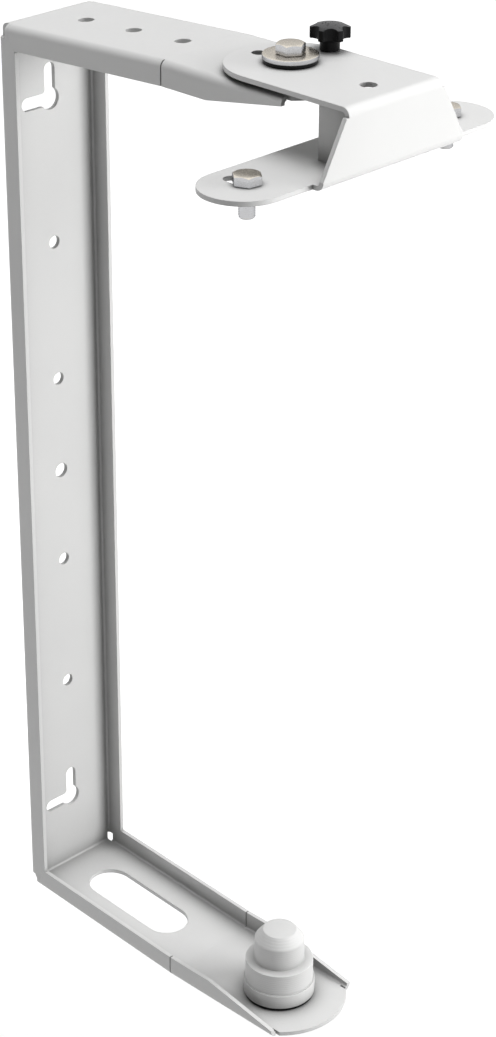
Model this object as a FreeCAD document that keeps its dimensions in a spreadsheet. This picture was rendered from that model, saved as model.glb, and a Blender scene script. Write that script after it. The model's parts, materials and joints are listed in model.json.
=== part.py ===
import FreeCAD, Part
import math
import os
import Sketcher

# Speaker wall bracket: a folded U frame for the wall, a spigot on its lower arm that the speaker
# stands on, and a swivelling head on its upper arm that is bolted to the speaker's top.
# X points out from the wall, Y along the wall and Z up. The origin is the middle of the wall
# plate's back face. All sizes are in millimetres.

SIZES = [
    # wall frame, one folded sheet
    ("frame_sheet", 3.0),
    ("frame_width", 80.0),
    ("frame_inner_bend", 1.5),
    ("flange_height", 16.0),
    ("plate_height", 656.0),
    ("arm_rise", 8.5),
    ("arm_bend_reach", 150.0),
    ("pivot_reach", 219.0),
    ("tip_radius", 47.5),
    ("flange_end_offset", 31.0),
    ("flange_end_height", 5.5),
    ("taper_start_offset", 31.0),
    ("tip_relief_depth", 4.0),
    ("tip_relief_width", 1.5),
    ("slit_width", 0.9),
    ("slit_inset", 3.5),
    ("corner_notch", 8.5),
    ("mitre_gap", 0.5),
    ("cut_margin", 5.0),
    # holes in the frame
    ("centre_hole_radius", 5.25),
    ("wall_hole_radius", 4.5),
    ("inner_wall_pitch", 70.0),
    ("outer_wall_pitch", 170.0),
    ("keyhole_pitch", 270.0),
    ("keyhole_radius", 7.5),
    ("keyhole_slot_radius", 4.5),
    ("keyhole_slot_run", 20.0),
    ("arm_hole_radius", 5.25),
    ("arm_hole_first_reach", 40.0),
    ("arm_hole_step", 44.0),
    ("cable_slot_radius", 16.0),
    ("cable_slot_near_reach", 45.0),
    ("cable_slot_far_reach", 104.0),
    # swivel head, one folded sheet with two welded ribs
    ("head_sheet", 3.0),
    ("head_width", 80.0),
    ("head_inner_bend", 2.5),
    ("head_front_offset", 84.0),
    ("head_drop", 41.5),
    ("front_top_width", 84.0),
    ("front_bottom_width", 121.0),
    ("strip_depth", 54.0),
    ("strip_length", 232.0),
    ("strip_setback", 2.5),
    ("rib_sheet", 3.0),
    ("rib_spread", 54.0),
    ("rib_depth", 31.0),
    ("spare_hole_radius", 4.5),
    ("spare_hole_offset", 26.0),
    ("front_hole_radius", 5.25),
    ("front_hole_offset", 62.0),
    # pivot hardware
    ("bolt_radius", 5.0),
    ("bolt_flats", 16.0),
    ("bolt_head_height", 6.4),
    ("hexagon_face_share", 0.96),
    ("pivot_bolt_turn", 57.5),
    ("bolt_tip_chamfer", 0.8),
    ("bolt_hole_clearance", 0.25),
    ("pivot_clearance", 0.05),
    ("pivot_bolt_length", 22.0),
    ("pivot_washer_radius", 17.0),
    ("pivot_washer_thick", 3.0),
    ("washer_edge", 0.6),
    ("upper_slip_radius", 16.4),
    ("upper_slip_thick", 2.5),
    ("lower_slip_radius", 37.0),
    ("lower_slip_thick", 2.5),
    ("under_washer_radius", 10.0),
    ("under_washer_thick", 1.6),
    ("nut_height", 6.0),
    # star knob with its screw
    ("knob_offset", 34.0),
    ("knob_radius", 12.3),
    ("knob_height", 14.0),
    ("knob_rim_height", 6.6),
    ("knob_dome", 2.3),
    ("knob_hub_radius", 6.1),
    ("knob_flare", 1.2),
    ("knob_edge", 0.6),
    ("knob_lobes", 6.0),
    ("scallop_radius", 5.2),
    ("scallop_offset", 14.2),
    ("scallop_turn", -45.0),
    ("knob_gap", 0.3),
    ("screw_radius", 3.0),
    ("screw_insert", 9.0),
    ("screw_tip_gap", 0.2),
    # bolts into the speaker
    ("speaker_bolt_spread", 172.0),
    ("speaker_bolt_offset", 49.0),
    ("speaker_bolt_length", 20.0),
    ("speaker_bolt_neck_radius", 4.5),
    ("speaker_bolt_neck_spare", 1.0),
    ("speaker_slot_run", 12.0),
    ("speaker_bolt_turn", 22.0),
    # spigot on the lower arm
    ("spigot_radius", 17.5),
    ("spigot_post_height", 24.0),
    ("spigot_chamfer_run", 5.7),
    ("spigot_chamfer_height", 7.2),
    ("collar_radius", 23.7),
    ("collar_height", 16.0),
    ("collar_edge", 1.0),
    ("base_radius", 25.0),
    ("base_height", 10.5),
    ("base_edge", 0.8),
    ("pad_radius", 24.2),
    ("pad_thick", 2.5),
    ("spigot_screw_radius", 6.0),
    ("spigot_screw_length", 30.0),
    ("spigot_screw_flats", 18.0),
    ("spigot_screw_head", 7.5),
    ("spigot_screw_turn", 0.0),
    ("spigot_thread_spare", 4.0),
    ("spigot_washer_radius", 12.0),
    ("spigot_washer_thick", 2.5),
]

doc = FreeCAD.newDocument("speaker_wall_bracket")
sheet = doc.addObject("Spreadsheet::Sheet", "Sizes")


class Size:
    """A length together with the sheet expression that drives it."""

    def __init__(self, value, text):
        self.value = float(value)
        self.text = text

    def __add__(self, other):
        other = as_size(other)
        return Size(self.value + other.value, f"({self.text} + {other.text})")

    def __sub__(self, other):
        other = as_size(other)
        return Size(self.value - other.value, f"({self.text} - {other.text})")

    def __mul__(self, other):
        other = as_size(other)
        return Size(self.value * other.value, f"({self.text} * {other.text})")

    def __truediv__(self, other):
        other = as_size(other)
        return Size(self.value / other.value, f"({self.text} / {other.text})")

    def __neg__(self):
        return Size(-self.value, f"(0 - {self.text})")


def as_size(number):
    if isinstance(number, Size):
        return number
    return Size(number, repr(float(number)))


def root(size):
    return Size(math.sqrt(size.value), f"sqrt({size.text})")


def cosine(turn):
    return Size(math.cos(math.radians(turn.value)), f"cos({turn.text} * 1 deg)")


def sine(turn):
    return Size(math.sin(math.radians(turn.value)), f"sin({turn.text} * 1 deg)")


# the sheet: one named cell for each driving dimension
D = {}
for row, (alias, value) in enumerate(SIZES, start=1):
    sheet.set(f"A{row}", alias)
    sheet.set(f"B{row}", str(value))
    sheet.setAlias(f"B{row}", alias)
    D[alias] = Size(value, f"Sizes.{alias}")
doc.recompute()

ZERO = as_size(0)
ROOT_THREE = root(as_size(3))

# places that several pieces share
HALF_WIDTH = D["frame_width"] / 2
HALF_HEIGHT = D["plate_height"] / 2
ARM_OUTER = HALF_HEIGHT + D["arm_rise"]
ARM_INNER = ARM_OUTER - D["frame_sheet"]
ARM_SLOPE = D["arm_rise"] / D["arm_bend_reach"]
FRAME_OUTER_BEND = D["frame_sheet"] + D["frame_inner_bend"]
TIP_REACH = D["pivot_reach"] + D["tip_radius"]
FLANGE_END = D["pivot_reach"] + D["flange_end_offset"]
THROUGH_BOTH_ARMS = ARM_OUTER * 2 + D["cut_margin"]
BOLT_HOLE = D["bolt_radius"] + D["bolt_hole_clearance"]

HEAD_UNDER = ARM_OUTER + D["lower_slip_thick"]
HEAD_TOP = HEAD_UNDER + D["head_sheet"]
HEAD_OUTER_BEND = D["head_sheet"] + D["head_inner_bend"]
HEAD_FRONT = D["pivot_reach"] + D["head_front_offset"]
HEAD_FRONT_INNER = HEAD_FRONT - D["head_sheet"]
BEND_LINE = HEAD_FRONT - HEAD_OUTER_BEND
STRIP_TOP = HEAD_TOP - D["head_drop"]
STRIP_UNDER = STRIP_TOP - D["head_sheet"]
STRIP_MIDDLE = BEND_LINE - D["strip_setback"] - D["strip_depth"] / 2
SPEAKER_BOLT_REACH = D["pivot_reach"] + D["speaker_bolt_offset"]
HALF_SPREAD = D["speaker_bolt_spread"] / 2


def bind(item, path, size):
    item.setExpression(path, as_size(size).text)


def origin_plane(body, role):
    return next(item for item in body.Origin.OriginFeatures if item.Role == role)


def new_body(label):
    body = doc.addObject("PartDesign::Body", label)
    body.Label = label
    return body


def new_sketch(body, name, role, lift=None):
    """A sketch on one of the body's own planes, moved along the plane's normal by lift."""
    sketch = body.newObject("Sketcher::SketchObject", f"{body.Label}_{name}")
    sketch.AttachmentSupport = [(origin_plane(body, role), "")]
    sketch.MapMode = "FlatFace"
    if lift is not None:
        bind(sketch, "AttachmentOffset.Base.z", lift)
    return sketch


def pin_point(sketch, geometry, point, place, axes="xy"):
    """Ties a point of the sketch to sheet sizes, measured from the sketch's origin."""
    for axis, kind, size in (("x", "DistanceX", place[0]), ("y", "DistanceY", place[1])):
        if axis not in axes:
            continue
        size = as_size(size)
        if size.text == ZERO.text:
            along = -2 if axis == "x" else -1
            sketch.addConstraint(Sketcher.Constraint("PointOnObject", geometry, point, along))
            continue
        index = sketch.addConstraint(Sketcher.Constraint(kind, -1, 1, geometry, point, size.value))
        bind(sketch, f"Constraints[{index}]", size)


def flat(place):
    return FreeCAD.Vector(as_size(place[0]).value, as_size(place[1]).value, 0)


def draw_outline(sketch, corners, arcs=None):
    """A closed outline. A corner is (x, y) or (x, y, tied axes), and arcs maps a corner's number to
    the centre of the counter-clockwise arc that leaves it."""
    arcs = arcs or {}
    ends = []
    for number, corner in enumerate(corners):
        start = flat(corner)
        end = flat(corners[(number + 1) % len(corners)])
        if number not in arcs:
            ends.append(sketch.addGeometry(Part.LineSegment(start, end), False))
            continue
        centre = flat(arcs[number])
        circle = Part.Circle(centre, FreeCAD.Vector(0, 0, 1), (start - centre).Length)
        first = math.atan2(start.y - centre.y, start.x - centre.x)
        last = math.atan2(end.y - centre.y, end.x - centre.x)
        if last <= first:
            last += 2 * math.pi
        ends.append(sketch.addGeometry(Part.ArcOfCircle(circle, first, last), False))
    for number, corner in enumerate(corners):
        sketch.addConstraint(Sketcher.Constraint("Coincident", ends[number - 1], 2, ends[number], 1))
        pin_point(sketch, ends[number], 1, corner, corner[2] if len(corner) > 2 else "xy")
    for number, centre in arcs.items():
        pin_point(sketch, ends[number], 3, centre)


def draw_circle(sketch, place, radius):
    circle = Part.Circle(flat(place), FreeCAD.Vector(0, 0, 1), as_size(radius).value)
    geometry = sketch.addGeometry(circle, False)
    pin_point(sketch, geometry, 3, place)
    index = sketch.addConstraint(Sketcher.Constraint("Radius", geometry, as_size(radius).value))
    bind(sketch, f"Constraints[{index}]", radius)


def draw_slot(sketch, start, end, radius):
    """A round-ended slot along the sketch's X or Y axis, from the lower centre to the upper one."""
    if as_size(start[1]).text == as_size(end[1]).text:
        low, high = start[1] - radius, start[1] + radius
        corners = [(start[0], low), (end[0], low), (end[0], high, "x"), (start[0], high, "x")]
    else:
        low, high = start[0] - radius, start[0] + radius
        corners = [(high, start[1]), (high, end[1]), (low, end[1], "y"), (low, start[1], "y")]
    draw_outline(sketch, corners, {1: end, 3: start})


def finish_feature(feature):
    """Recomputes and stops where the feature has no shape."""
    doc.recompute()
    if "Invalid" in feature.State or feature.Shape.isNull():
        raise RuntimeError(f"{feature.Name} failed: {feature.getStatusString()}")


def sweep(body, kind, sketch, length, both_ways=False, backwards=False):
    """A Pad or Pocket of the sketch. A pocket that takes nothing away is an error."""
    before = body.Shape.Volume if body.Tip else 0.0
    feature = body.newObject(f"PartDesign::{kind}", f"{sketch.Name}_{kind.lower()}")
    feature.Profile = sketch
    feature.SideType = "Symmetric" if both_ways else "One side"
    feature.Reversed = backwards
    bind(feature, "Length", length)
    finish_feature(feature)
    change = body.Shape.Volume - before
    if (kind == "Pad") != (change > 0):
        raise RuntimeError(f"{feature.Name} changed the volume by {change:.3f}")
    return feature


def round_edges(body, name, radius, wanted):
    """A fillet on every edge whose end points and middle all pass the wanted test."""
    base = body.Tip
    edges = []
    for number, edge in enumerate(base.Shape.Edges, start=1):
        middle = edge.valueAt((edge.FirstParameter + edge.LastParameter) / 2)
        points = [vertex.Point for vertex in edge.Vertexes] + [middle]
        if wanted(points):
            edges.append(f"Edge{number}")
    fillet = body.newObject("PartDesign::Fillet", f"{body.Label}_{name}")
    fillet.Base = (base, edges)
    bind(fillet, "Radius", radius)
    body.Tip = fillet
    finish_feature(fillet)


def close(one, other):
    return abs(one - other) < 1e-4


def frame_outline(sign):
    """Side view of one half of the frame with its flange, from the wall outwards and back."""
    def mirrored(reach, height):
        return (as_size(reach), height if sign > 0 else -height)

    inner_corner = HALF_HEIGHT + ARM_SLOPE * D["flange_height"] - D["flange_height"]
    return [
        mirrored(ZERO, HALF_HEIGHT),
        mirrored(D["arm_bend_reach"], ARM_OUTER),
        mirrored(TIP_REACH, ARM_OUTER),
        mirrored(TIP_REACH, ARM_INNER),
        mirrored(FLANGE_END, ARM_INNER),
        mirrored(FLANGE_END, ARM_OUTER - D["flange_end_height"]),
        mirrored(D["pivot_reach"] - D["taper_start_offset"], ARM_OUTER - D["flange_height"]),
        mirrored(D["arm_bend_reach"], ARM_OUTER - D["flange_height"]),
        mirrored(D["flange_height"], inner_corner),
    ]


def skin_height(reach):
    """Height of the arm's outer face above the middle, at a distance from the wall."""
    return HALF_HEIGHT.value + ARM_SLOPE.value * min(reach, D["arm_bend_reach"].value)


def on_skin(point, depth):
    """True where the point lies on the frame's outer faces, or as deep below them as depth."""
    return close(point.x, depth) or close(abs(point.z), skin_height(point.x) - depth)


def is_fold(points, half_width, depth):
    """True for the long edges of the flange folds and for the two folds at the wall."""
    along = all(close(abs(point.y), half_width) and on_skin(point, depth) for point in points)
    corner = skin_height(depth) - depth
    across = all(close(point.x, depth) and close(abs(point.z), corner) for point in points)
    return along or across


def make_wall_frame():
    """The U frame: wall plate, two arms and the flanges, folded from one sheet."""
    body = new_body("wall_frame")
    sheet_thick = D["frame_sheet"]

    side = new_sketch(body, "side", "XZ_Plane")
    draw_outline(side, frame_outline(-1) + frame_outline(1)[::-1])
    sweep(body, "Pad", side, D["frame_width"], both_ways=True)
    half = HALF_WIDTH.value
    round_edges(body, "outer_folds", FRAME_OUTER_BEND, lambda points: is_fold(points, half, 0))

    # the hollow between the flanges leaves one sheet thickness all round
    inside = new_sketch(body, "inside", "XZ_Plane")
    beyond = TIP_REACH + D["cut_margin"]
    inner_corner = HALF_HEIGHT + ARM_SLOPE * sheet_thick - sheet_thick
    draw_outline(inside, [
        (sheet_thick, -inner_corner),
        (D["arm_bend_reach"], -ARM_INNER),
        (beyond, -ARM_INNER),
        (beyond, ARM_INNER),
        (D["arm_bend_reach"], ARM_INNER),
        (sheet_thick, inner_corner),
    ])
    sweep(body, "Pocket", inside, D["frame_width"] - sheet_thick * 2, both_ways=True)
    inner_half = half - sheet_thick.value
    round_edges(body, "inner_folds", D["frame_inner_bend"],
                lambda points: is_fold(points, inner_half, sheet_thick.value))

    cut_arm_tips(body)
    cut_fold_reliefs(body)
    cut_wall_holes(body)
    cut_arm_holes(body)
    return body


def cut_arm_tips(body):
    """Rounds both arm ends about the pivot and frees the ends of their flanges."""
    tip = new_sketch(body, "tips", "XY_Plane")
    pivot = (D["pivot_reach"], ZERO)
    relief_outer = HALF_WIDTH - FRAME_OUTER_BEND
    relief_inner = relief_outer - D["tip_relief_width"]
    arc_start = D["pivot_reach"] + root(D["tip_radius"] * D["tip_radius"] - relief_inner * relief_inner)
    relief_back = FLANGE_END - D["tip_relief_depth"]
    outside = HALF_WIDTH + D["cut_margin"]
    beyond = TIP_REACH + D["cut_margin"]
    draw_outline(tip, [
        (arc_start, relief_inner),
        (relief_back, relief_inner),
        (relief_back, relief_outer),
        (FLANGE_END, relief_outer),
        (FLANGE_END, outside),
        (beyond, outside),
        (beyond, -outside),
        (FLANGE_END, -outside),
        (FLANGE_END, -relief_outer),
        (relief_back, -relief_outer),
        (relief_back, -relief_inner),
        (arc_start, -relief_inner, "y"),
    ], {11: pivot})
    sweep(body, "Pocket", tip, THROUGH_BOTH_ARMS, both_ways=True)


def cut_fold_reliefs(body):
    """Slits where the arms bend, and mitres and square notches where the flanges meet."""
    slits = new_sketch(body, "slits", "XY_Plane")
    near = D["arm_bend_reach"] - D["slit_width"] / 2
    far = D["arm_bend_reach"] + D["slit_width"] / 2
    inside = HALF_WIDTH - D["slit_inset"]
    outside = HALF_WIDTH + D["cut_margin"]
    for low, high in ((inside, outside), (-outside, -inside)):
        draw_outline(slits, [(near, low), (far, low), (far, high), (near, high)])
    sweep(body, "Pocket", slits, THROUGH_BOTH_ARMS, both_ways=True)

    mitres = new_sketch(body, "mitres", "XZ_Plane", HALF_WIDTH)
    start = D["corner_notch"]
    end = D["flange_height"] + D["cut_margin"]
    half_gap = D["mitre_gap"] / 2
    for sign in (-1, 1):
        low = (HALF_HEIGHT - start) * sign
        high = (HALF_HEIGHT - end) * sign
        draw_outline(mitres, [
            (start - half_gap, low),
            (start + half_gap, low),
            (end + half_gap, high),
            (end - half_gap, high),
        ])
    mitre_cut = sweep(body, "Pocket", mitres, FRAME_OUTER_BEND)

    notches = new_sketch(body, "notches", "XZ_Plane", HALF_WIDTH)
    behind = -D["cut_margin"]
    for sign in (-1, 1):
        low = (HALF_HEIGHT - start) * sign
        high = (ARM_OUTER + D["cut_margin"]) * sign
        draw_outline(notches, [(behind, low), (start, low), (start, high), (behind, high)])
    notch_cut = sweep(body, "Pocket", notches, FRAME_OUTER_BEND)

    before = body.Shape.Volume
    mirror = body.newObject("PartDesign::Mirrored", "wall_frame_corners_mirrored")
    mirror.Originals = [mitre_cut, notch_cut]
    mirror.MirrorPlane = (origin_plane(body, "XZ_Plane"), [""])
    body.Tip = mirror
    finish_feature(mirror)
    if body.Shape.Volume >= before:
        raise RuntimeError("the mirrored corner cuts took nothing away")


def cut_wall_holes(body):
    """Screw holes up the middle of the wall plate, and two keyholes to hang it by."""
    depth = (D["frame_sheet"] + D["cut_margin"]) * 2
    holes = new_sketch(body, "wall_holes", "YZ_Plane")
    draw_circle(holes, (ZERO, ZERO), D["centre_hole_radius"])
    for pitch in (D["inner_wall_pitch"], D["outer_wall_pitch"]):
        for height in (pitch, -pitch):
            draw_circle(holes, (ZERO, height), D["wall_hole_radius"])
    for height in (D["keyhole_pitch"], -D["keyhole_pitch"]):
        draw_circle(holes, (ZERO, height), D["keyhole_radius"])
    sweep(body, "Pocket", holes, depth, both_ways=True)

    # each keyhole has one slot upwards and one to the side, for screws in either direction
    run = D["keyhole_slot_run"]
    radius = D["keyhole_slot_radius"]
    up_slots = new_sketch(body, "keyhole_up_slots", "YZ_Plane")
    side_slots = new_sketch(body, "keyhole_side_slots", "YZ_Plane")
    for height in (D["keyhole_pitch"], -D["keyhole_pitch"]):
        draw_slot(up_slots, (ZERO, height), (ZERO, height + run), radius)
        draw_slot(side_slots, (-run, height), (ZERO, height), radius)
    sweep(body, "Pocket", up_slots, depth, both_ways=True)
    sweep(body, "Pocket", side_slots, depth, both_ways=True)


def cut_arm_holes(body):
    """Pivot hole and spare holes in the upper arm, cable slot and spigot hole in the lower arm."""
    upper = new_sketch(body, "upper_arm_holes", "XY_Plane")
    draw_circle(upper, (D["pivot_reach"], ZERO), BOLT_HOLE)
    for number in range(3):
        reach = D["arm_hole_first_reach"] + D["arm_hole_step"] * number
        draw_circle(upper, (reach, ZERO), D["arm_hole_radius"])
    sweep(body, "Pocket", upper, THROUGH_BOTH_ARMS, backwards=True)

    lower = new_sketch(body, "lower_arm_holes", "XY_Plane")
    draw_circle(lower, (D["pivot_reach"], ZERO), D["spigot_screw_radius"] + D["bolt_hole_clearance"])
    near = (D["cable_slot_near_reach"], ZERO)
    far = (D["cable_slot_far_reach"], ZERO)
    draw_slot(lower, near, far, D["cable_slot_radius"])
    sweep(body, "Pocket", lower, THROUGH_BOTH_ARMS)


def draw_fold(sketch, centre, upwards):
    """A quarter ring about the fold's centre, from the front face to the tongue or to the strip."""
    x, z = centre
    inner = D["head_inner_bend"]
    outer = HEAD_OUTER_BEND
    if upwards:
        tied = "x"
        corners = [(x + inner, z), (x + outer, z), (x, z + outer), (x, z + inner)]
    else:
        tied = "y"
        corners = [(x, z - inner), (x, z - outer), (x + outer, z), (x + inner, z)]
    points = [flat(corner) for corner in corners]
    middle = flat(centre)
    first = math.atan2(points[1].y - middle.y, points[1].x - middle.x)
    normal = FreeCAD.Vector(0, 0, 1)
    last = first + math.pi / 2
    outer_circle = Part.Circle(middle, normal, outer.value)
    inner_circle = Part.Circle(middle, normal, inner.value)
    out_line = sketch.addGeometry(Part.LineSegment(points[0], points[1]), False)
    outer_arc = sketch.addGeometry(Part.ArcOfCircle(outer_circle, first, last), False)
    in_line = sketch.addGeometry(Part.LineSegment(points[2], points[3]), False)
    inner_arc = sketch.addGeometry(Part.ArcOfCircle(inner_circle, first, last), False)
    joins = (
        (out_line, 2, outer_arc, 1),
        (outer_arc, 2, in_line, 1),
        (in_line, 2, inner_arc, 2),
        (inner_arc, 1, out_line, 1),
    )
    for one, one_end, other, other_end in joins:
        sketch.addConstraint(Sketcher.Constraint("Coincident", one, one_end, other, other_end))
    sketch.addConstraint(Sketcher.Constraint("Coincident", outer_arc, 3, inner_arc, 3))
    pin_point(sketch, outer_arc, 3, centre)
    pin_point(sketch, out_line, 1, corners[0])
    pin_point(sketch, out_line, 2, corners[1])
    pin_point(sketch, in_line, 1, corners[2], tied)
    pin_point(sketch, in_line, 2, corners[3], tied)


def make_swivel_head():
    """The head: tongue on the pivot, front face that widens downwards, and strip for the bolts."""
    body = new_body("swivel_head")
    thick = D["head_sheet"]
    half = D["head_width"] / 2
    pivot = (D["pivot_reach"], ZERO)

    tongue = new_sketch(body, "tongue", "XY_Plane", HEAD_UNDER)
    draw_outline(tongue, [
        (BEND_LINE, -half),
        (BEND_LINE, half),
        (D["pivot_reach"], half),
        (D["pivot_reach"], -half, "x"),
    ], {2: pivot})
    sweep(body, "Pad", tongue, thick)

    top_fold = new_sketch(body, "top_fold", "XZ_Plane")
    top_edge = HEAD_TOP - HEAD_OUTER_BEND
    draw_fold(top_fold, (BEND_LINE, top_edge), True)
    sweep(body, "Pad", top_fold, D["head_width"], both_ways=True)

    front = new_sketch(body, "front", "YZ_Plane", HEAD_FRONT_INNER)
    low_edge = STRIP_UNDER + HEAD_OUTER_BEND
    top_half = D["front_top_width"] / 2
    low_half = D["front_bottom_width"] / 2
    draw_outline(front, [
        (-low_half, low_edge),
        (low_half, low_edge),
        (top_half, top_edge),
        (-top_half, top_edge),
    ])
    sweep(body, "Pad", front, thick)

    low_fold = new_sketch(body, "low_fold", "XZ_Plane")
    draw_fold(low_fold, (BEND_LINE, low_edge), False)
    sweep(body, "Pad", low_fold, D["front_bottom_width"], both_ways=True)

    strip = new_sketch(body, "strip", "XY_Plane", STRIP_UNDER)
    end_radius = D["strip_depth"] / 2
    end_centre = D["strip_length"] / 2 - end_radius
    draw_slot(strip, (STRIP_MIDDLE, -end_centre), (STRIP_MIDDLE, end_centre), end_radius)
    sweep(body, "Pad", strip, thick)

    # the strip's front edge stands behind the bend, so that the ends of the lower fold are free
    strip_root = new_sketch(body, "strip_root", "XY_Plane", STRIP_UNDER)
    draw_outline(strip_root, [
        (STRIP_MIDDLE, -low_half),
        (BEND_LINE, -low_half),
        (BEND_LINE, low_half),
        (STRIP_MIDDLE, low_half),
    ])
    sweep(body, "Pad", strip_root, thick)

    cut_head_holes(body)
    return body


def cut_head_holes(body):
    """Pivot, knob and spare holes in the tongue, and a slot for each speaker bolt in the strip."""
    tongue_holes = new_sketch(body, "tongue_holes", "XY_Plane", HEAD_TOP)
    reach = D["pivot_reach"]
    draw_circle(tongue_holes, (reach, ZERO), D["bolt_radius"] + D["pivot_clearance"])
    draw_circle(tongue_holes, (reach - D["spare_hole_offset"], ZERO), D["spare_hole_radius"])
    draw_circle(tongue_holes, (reach + D["front_hole_offset"], ZERO), D["front_hole_radius"])
    draw_circle(tongue_holes, (reach, D["knob_offset"]), D["screw_radius"] + D["pivot_clearance"])
    sweep(body, "Pocket", tongue_holes, D["head_sheet"])

    slots = new_sketch(body, "bolt_slots", "XY_Plane", STRIP_TOP)
    for across in (HALF_SPREAD, -HALF_SPREAD):
        back = (SPEAKER_BOLT_REACH - D["speaker_slot_run"], across)
        draw_slot(slots, back, (SPEAKER_BOLT_REACH, across), BOLT_HOLE)
    sweep(body, "Pocket", slots, D["head_sheet"])


def make_rib(label, middle):
    """A flat web between tongue, front face and strip, with its corners clear of the folds."""
    body = new_body(label)
    side = new_sketch(body, "side", "XZ_Plane", D["rib_sheet"] / 2 - middle)
    corner = D["head_inner_bend"]
    back = HEAD_FRONT_INNER - D["rib_depth"]
    draw_outline(side, [
        (back, STRIP_TOP),
        (HEAD_FRONT_INNER - corner, STRIP_TOP),
        (HEAD_FRONT_INNER, STRIP_TOP + corner),
        (HEAD_FRONT_INNER, HEAD_UNDER - corner),
        (HEAD_FRONT_INNER - corner, HEAD_UNDER),
        (back, HEAD_UNDER),
    ])
    sweep(body, "Pad", side, D["rib_sheet"], backwards=True)
    return body


def place(item, x, y, z):
    for axis, size in (("x", x), ("y", y), ("z", z)):
        bind(item, f"Placement.Base.{axis}", size)


def cylinder(name, radius, height, lift=ZERO):
    item = doc.addObject("Part::Cylinder", name)
    bind(item, "Radius", radius)
    bind(item, "Height", height)
    bind(item, "Placement.Base.z", lift)
    return item


def cone(name, low_radius, high_radius, height, lift=ZERO):
    item = doc.addObject("Part::Cone", name)
    bind(item, "Radius1", low_radius)
    bind(item, "Radius2", high_radius)
    bind(item, "Height", height)
    bind(item, "Placement.Base.z", lift)
    return item


def boolean(kind, name, base, tool):
    item = doc.addObject(f"Part::{kind}", name)
    item.Base = base
    item.Tool = tool
    return item


def hexagon(name, flats, height, turn=ZERO):
    item = doc.addObject("Part::Prism", name)
    item.Polygon = 6
    bind(item, "Circumradius", flats / ROOT_THREE)
    bind(item, "Height", height)
    bind(item, "Placement.Rotation.Angle", turn)
    return item


def hex_bolt(name, radius, length, flats, head_height, turn):
    """A hexagon bolt with its head above Z 0 and its shank below. The head's upper corners are
    turned off at 30 degrees and the shank's end is chamfered."""
    head = hex_head(name, flats, head_height, turn)
    return boolean("Fuse", name, head, bolt_shank(name, radius, length, ZERO))


def necked_bolt(name, radius, length, flats, head_height, turn, neck_radius, neck_length):
    """A hexagon bolt whose shank has a narrower, unthreaded neck under the head."""
    head = hex_head(name, flats, head_height, turn)
    neck = cylinder(f"{name}_neck", neck_radius, neck_length, -neck_length)
    top = boolean("Fuse", f"{name}_top", head, neck)
    return boolean("Fuse", name, top, bolt_shank(name, radius, length, neck_length))


def hex_head(name, flats, head_height, turn):
    block = hexagon(f"{name}_block", flats, head_height, turn)
    top_radius = flats / 2 * D["hexagon_face_share"]
    turned = cone(f"{name}_turned", top_radius + head_height * ROOT_THREE, top_radius, head_height)
    return boolean("Common", f"{name}_head", block, turned)


def bolt_shank(name, radius, length, start):
    """A shank that runs down from start, measured below Z 0, to a chamfered end at length."""
    chamfer = D["bolt_tip_chamfer"]
    shank = cylinder(f"{name}_shank", radius, length - chamfer - start, chamfer - length)
    tip = cone(f"{name}_tip", radius - chamfer, radius, chamfer, -length)
    return boolean("Fuse", f"{name}_body", shank, tip)


def ring(name, outer, inner, thick):
    """A flat ring with its lower face at Z 0."""
    disc = cylinder(f"{name}_disc", outer, thick)
    hole = cylinder(f"{name}_hole", inner, thick)
    return boolean("Cut", name, disc, hole)


def chamfered_ring(name, outer, inner, thick, edge):
    """A plain washer whose upper outer edge is chamfered."""
    lower = cylinder(f"{name}_lower", outer, thick - edge)
    upper = cone(f"{name}_upper", outer, outer - edge, edge, thick - edge)
    blank = boolean("Fuse", f"{name}_blank", lower, upper)
    hole = cylinder(f"{name}_hole", inner, thick)
    return boolean("Cut", name, blank, hole)


def make_pivot_hardware():
    """Bolt, washers, slip discs and lock nut on the head's axis, from the top down."""
    reach = D["pivot_reach"]
    upper_slip_height = HEAD_TOP
    washer_height = upper_slip_height + D["upper_slip_thick"]
    bolt_height = washer_height + D["pivot_washer_thick"]
    under_height = ARM_INNER - D["under_washer_thick"]
    nut_height = under_height - D["nut_height"]

    bolt = hex_bolt("pivot_bolt", D["bolt_radius"], D["pivot_bolt_length"],
                    D["bolt_flats"], D["bolt_head_height"], D["pivot_bolt_turn"])
    place(bolt, reach, ZERO, bolt_height)
    washer = chamfered_ring("pivot_washer", D["pivot_washer_radius"], BOLT_HOLE,
                            D["pivot_washer_thick"], D["washer_edge"])
    place(washer, reach, ZERO, washer_height)
    upper_slip = ring("upper_slip_washer", D["upper_slip_radius"], BOLT_HOLE, D["upper_slip_thick"])
    place(upper_slip, reach, ZERO, upper_slip_height)
    lower_slip = ring("lower_slip_disc", D["lower_slip_radius"], BOLT_HOLE, D["lower_slip_thick"])
    place(lower_slip, reach, ZERO, ARM_OUTER)
    under = ring("pivot_under_washer", D["under_washer_radius"], BOLT_HOLE, D["under_washer_thick"])
    place(under, reach, ZERO, under_height)

    block = hexagon("nut_block", D["bolt_flats"], D["nut_height"])
    thread = cylinder("nut_thread", D["bolt_radius"], D["nut_height"])
    nut = boolean("Cut", "pivot_lock_nut", block, thread)
    place(nut, reach, ZERO, nut_height)
    return [bolt, washer, upper_slip, lower_slip, under, nut]


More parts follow.
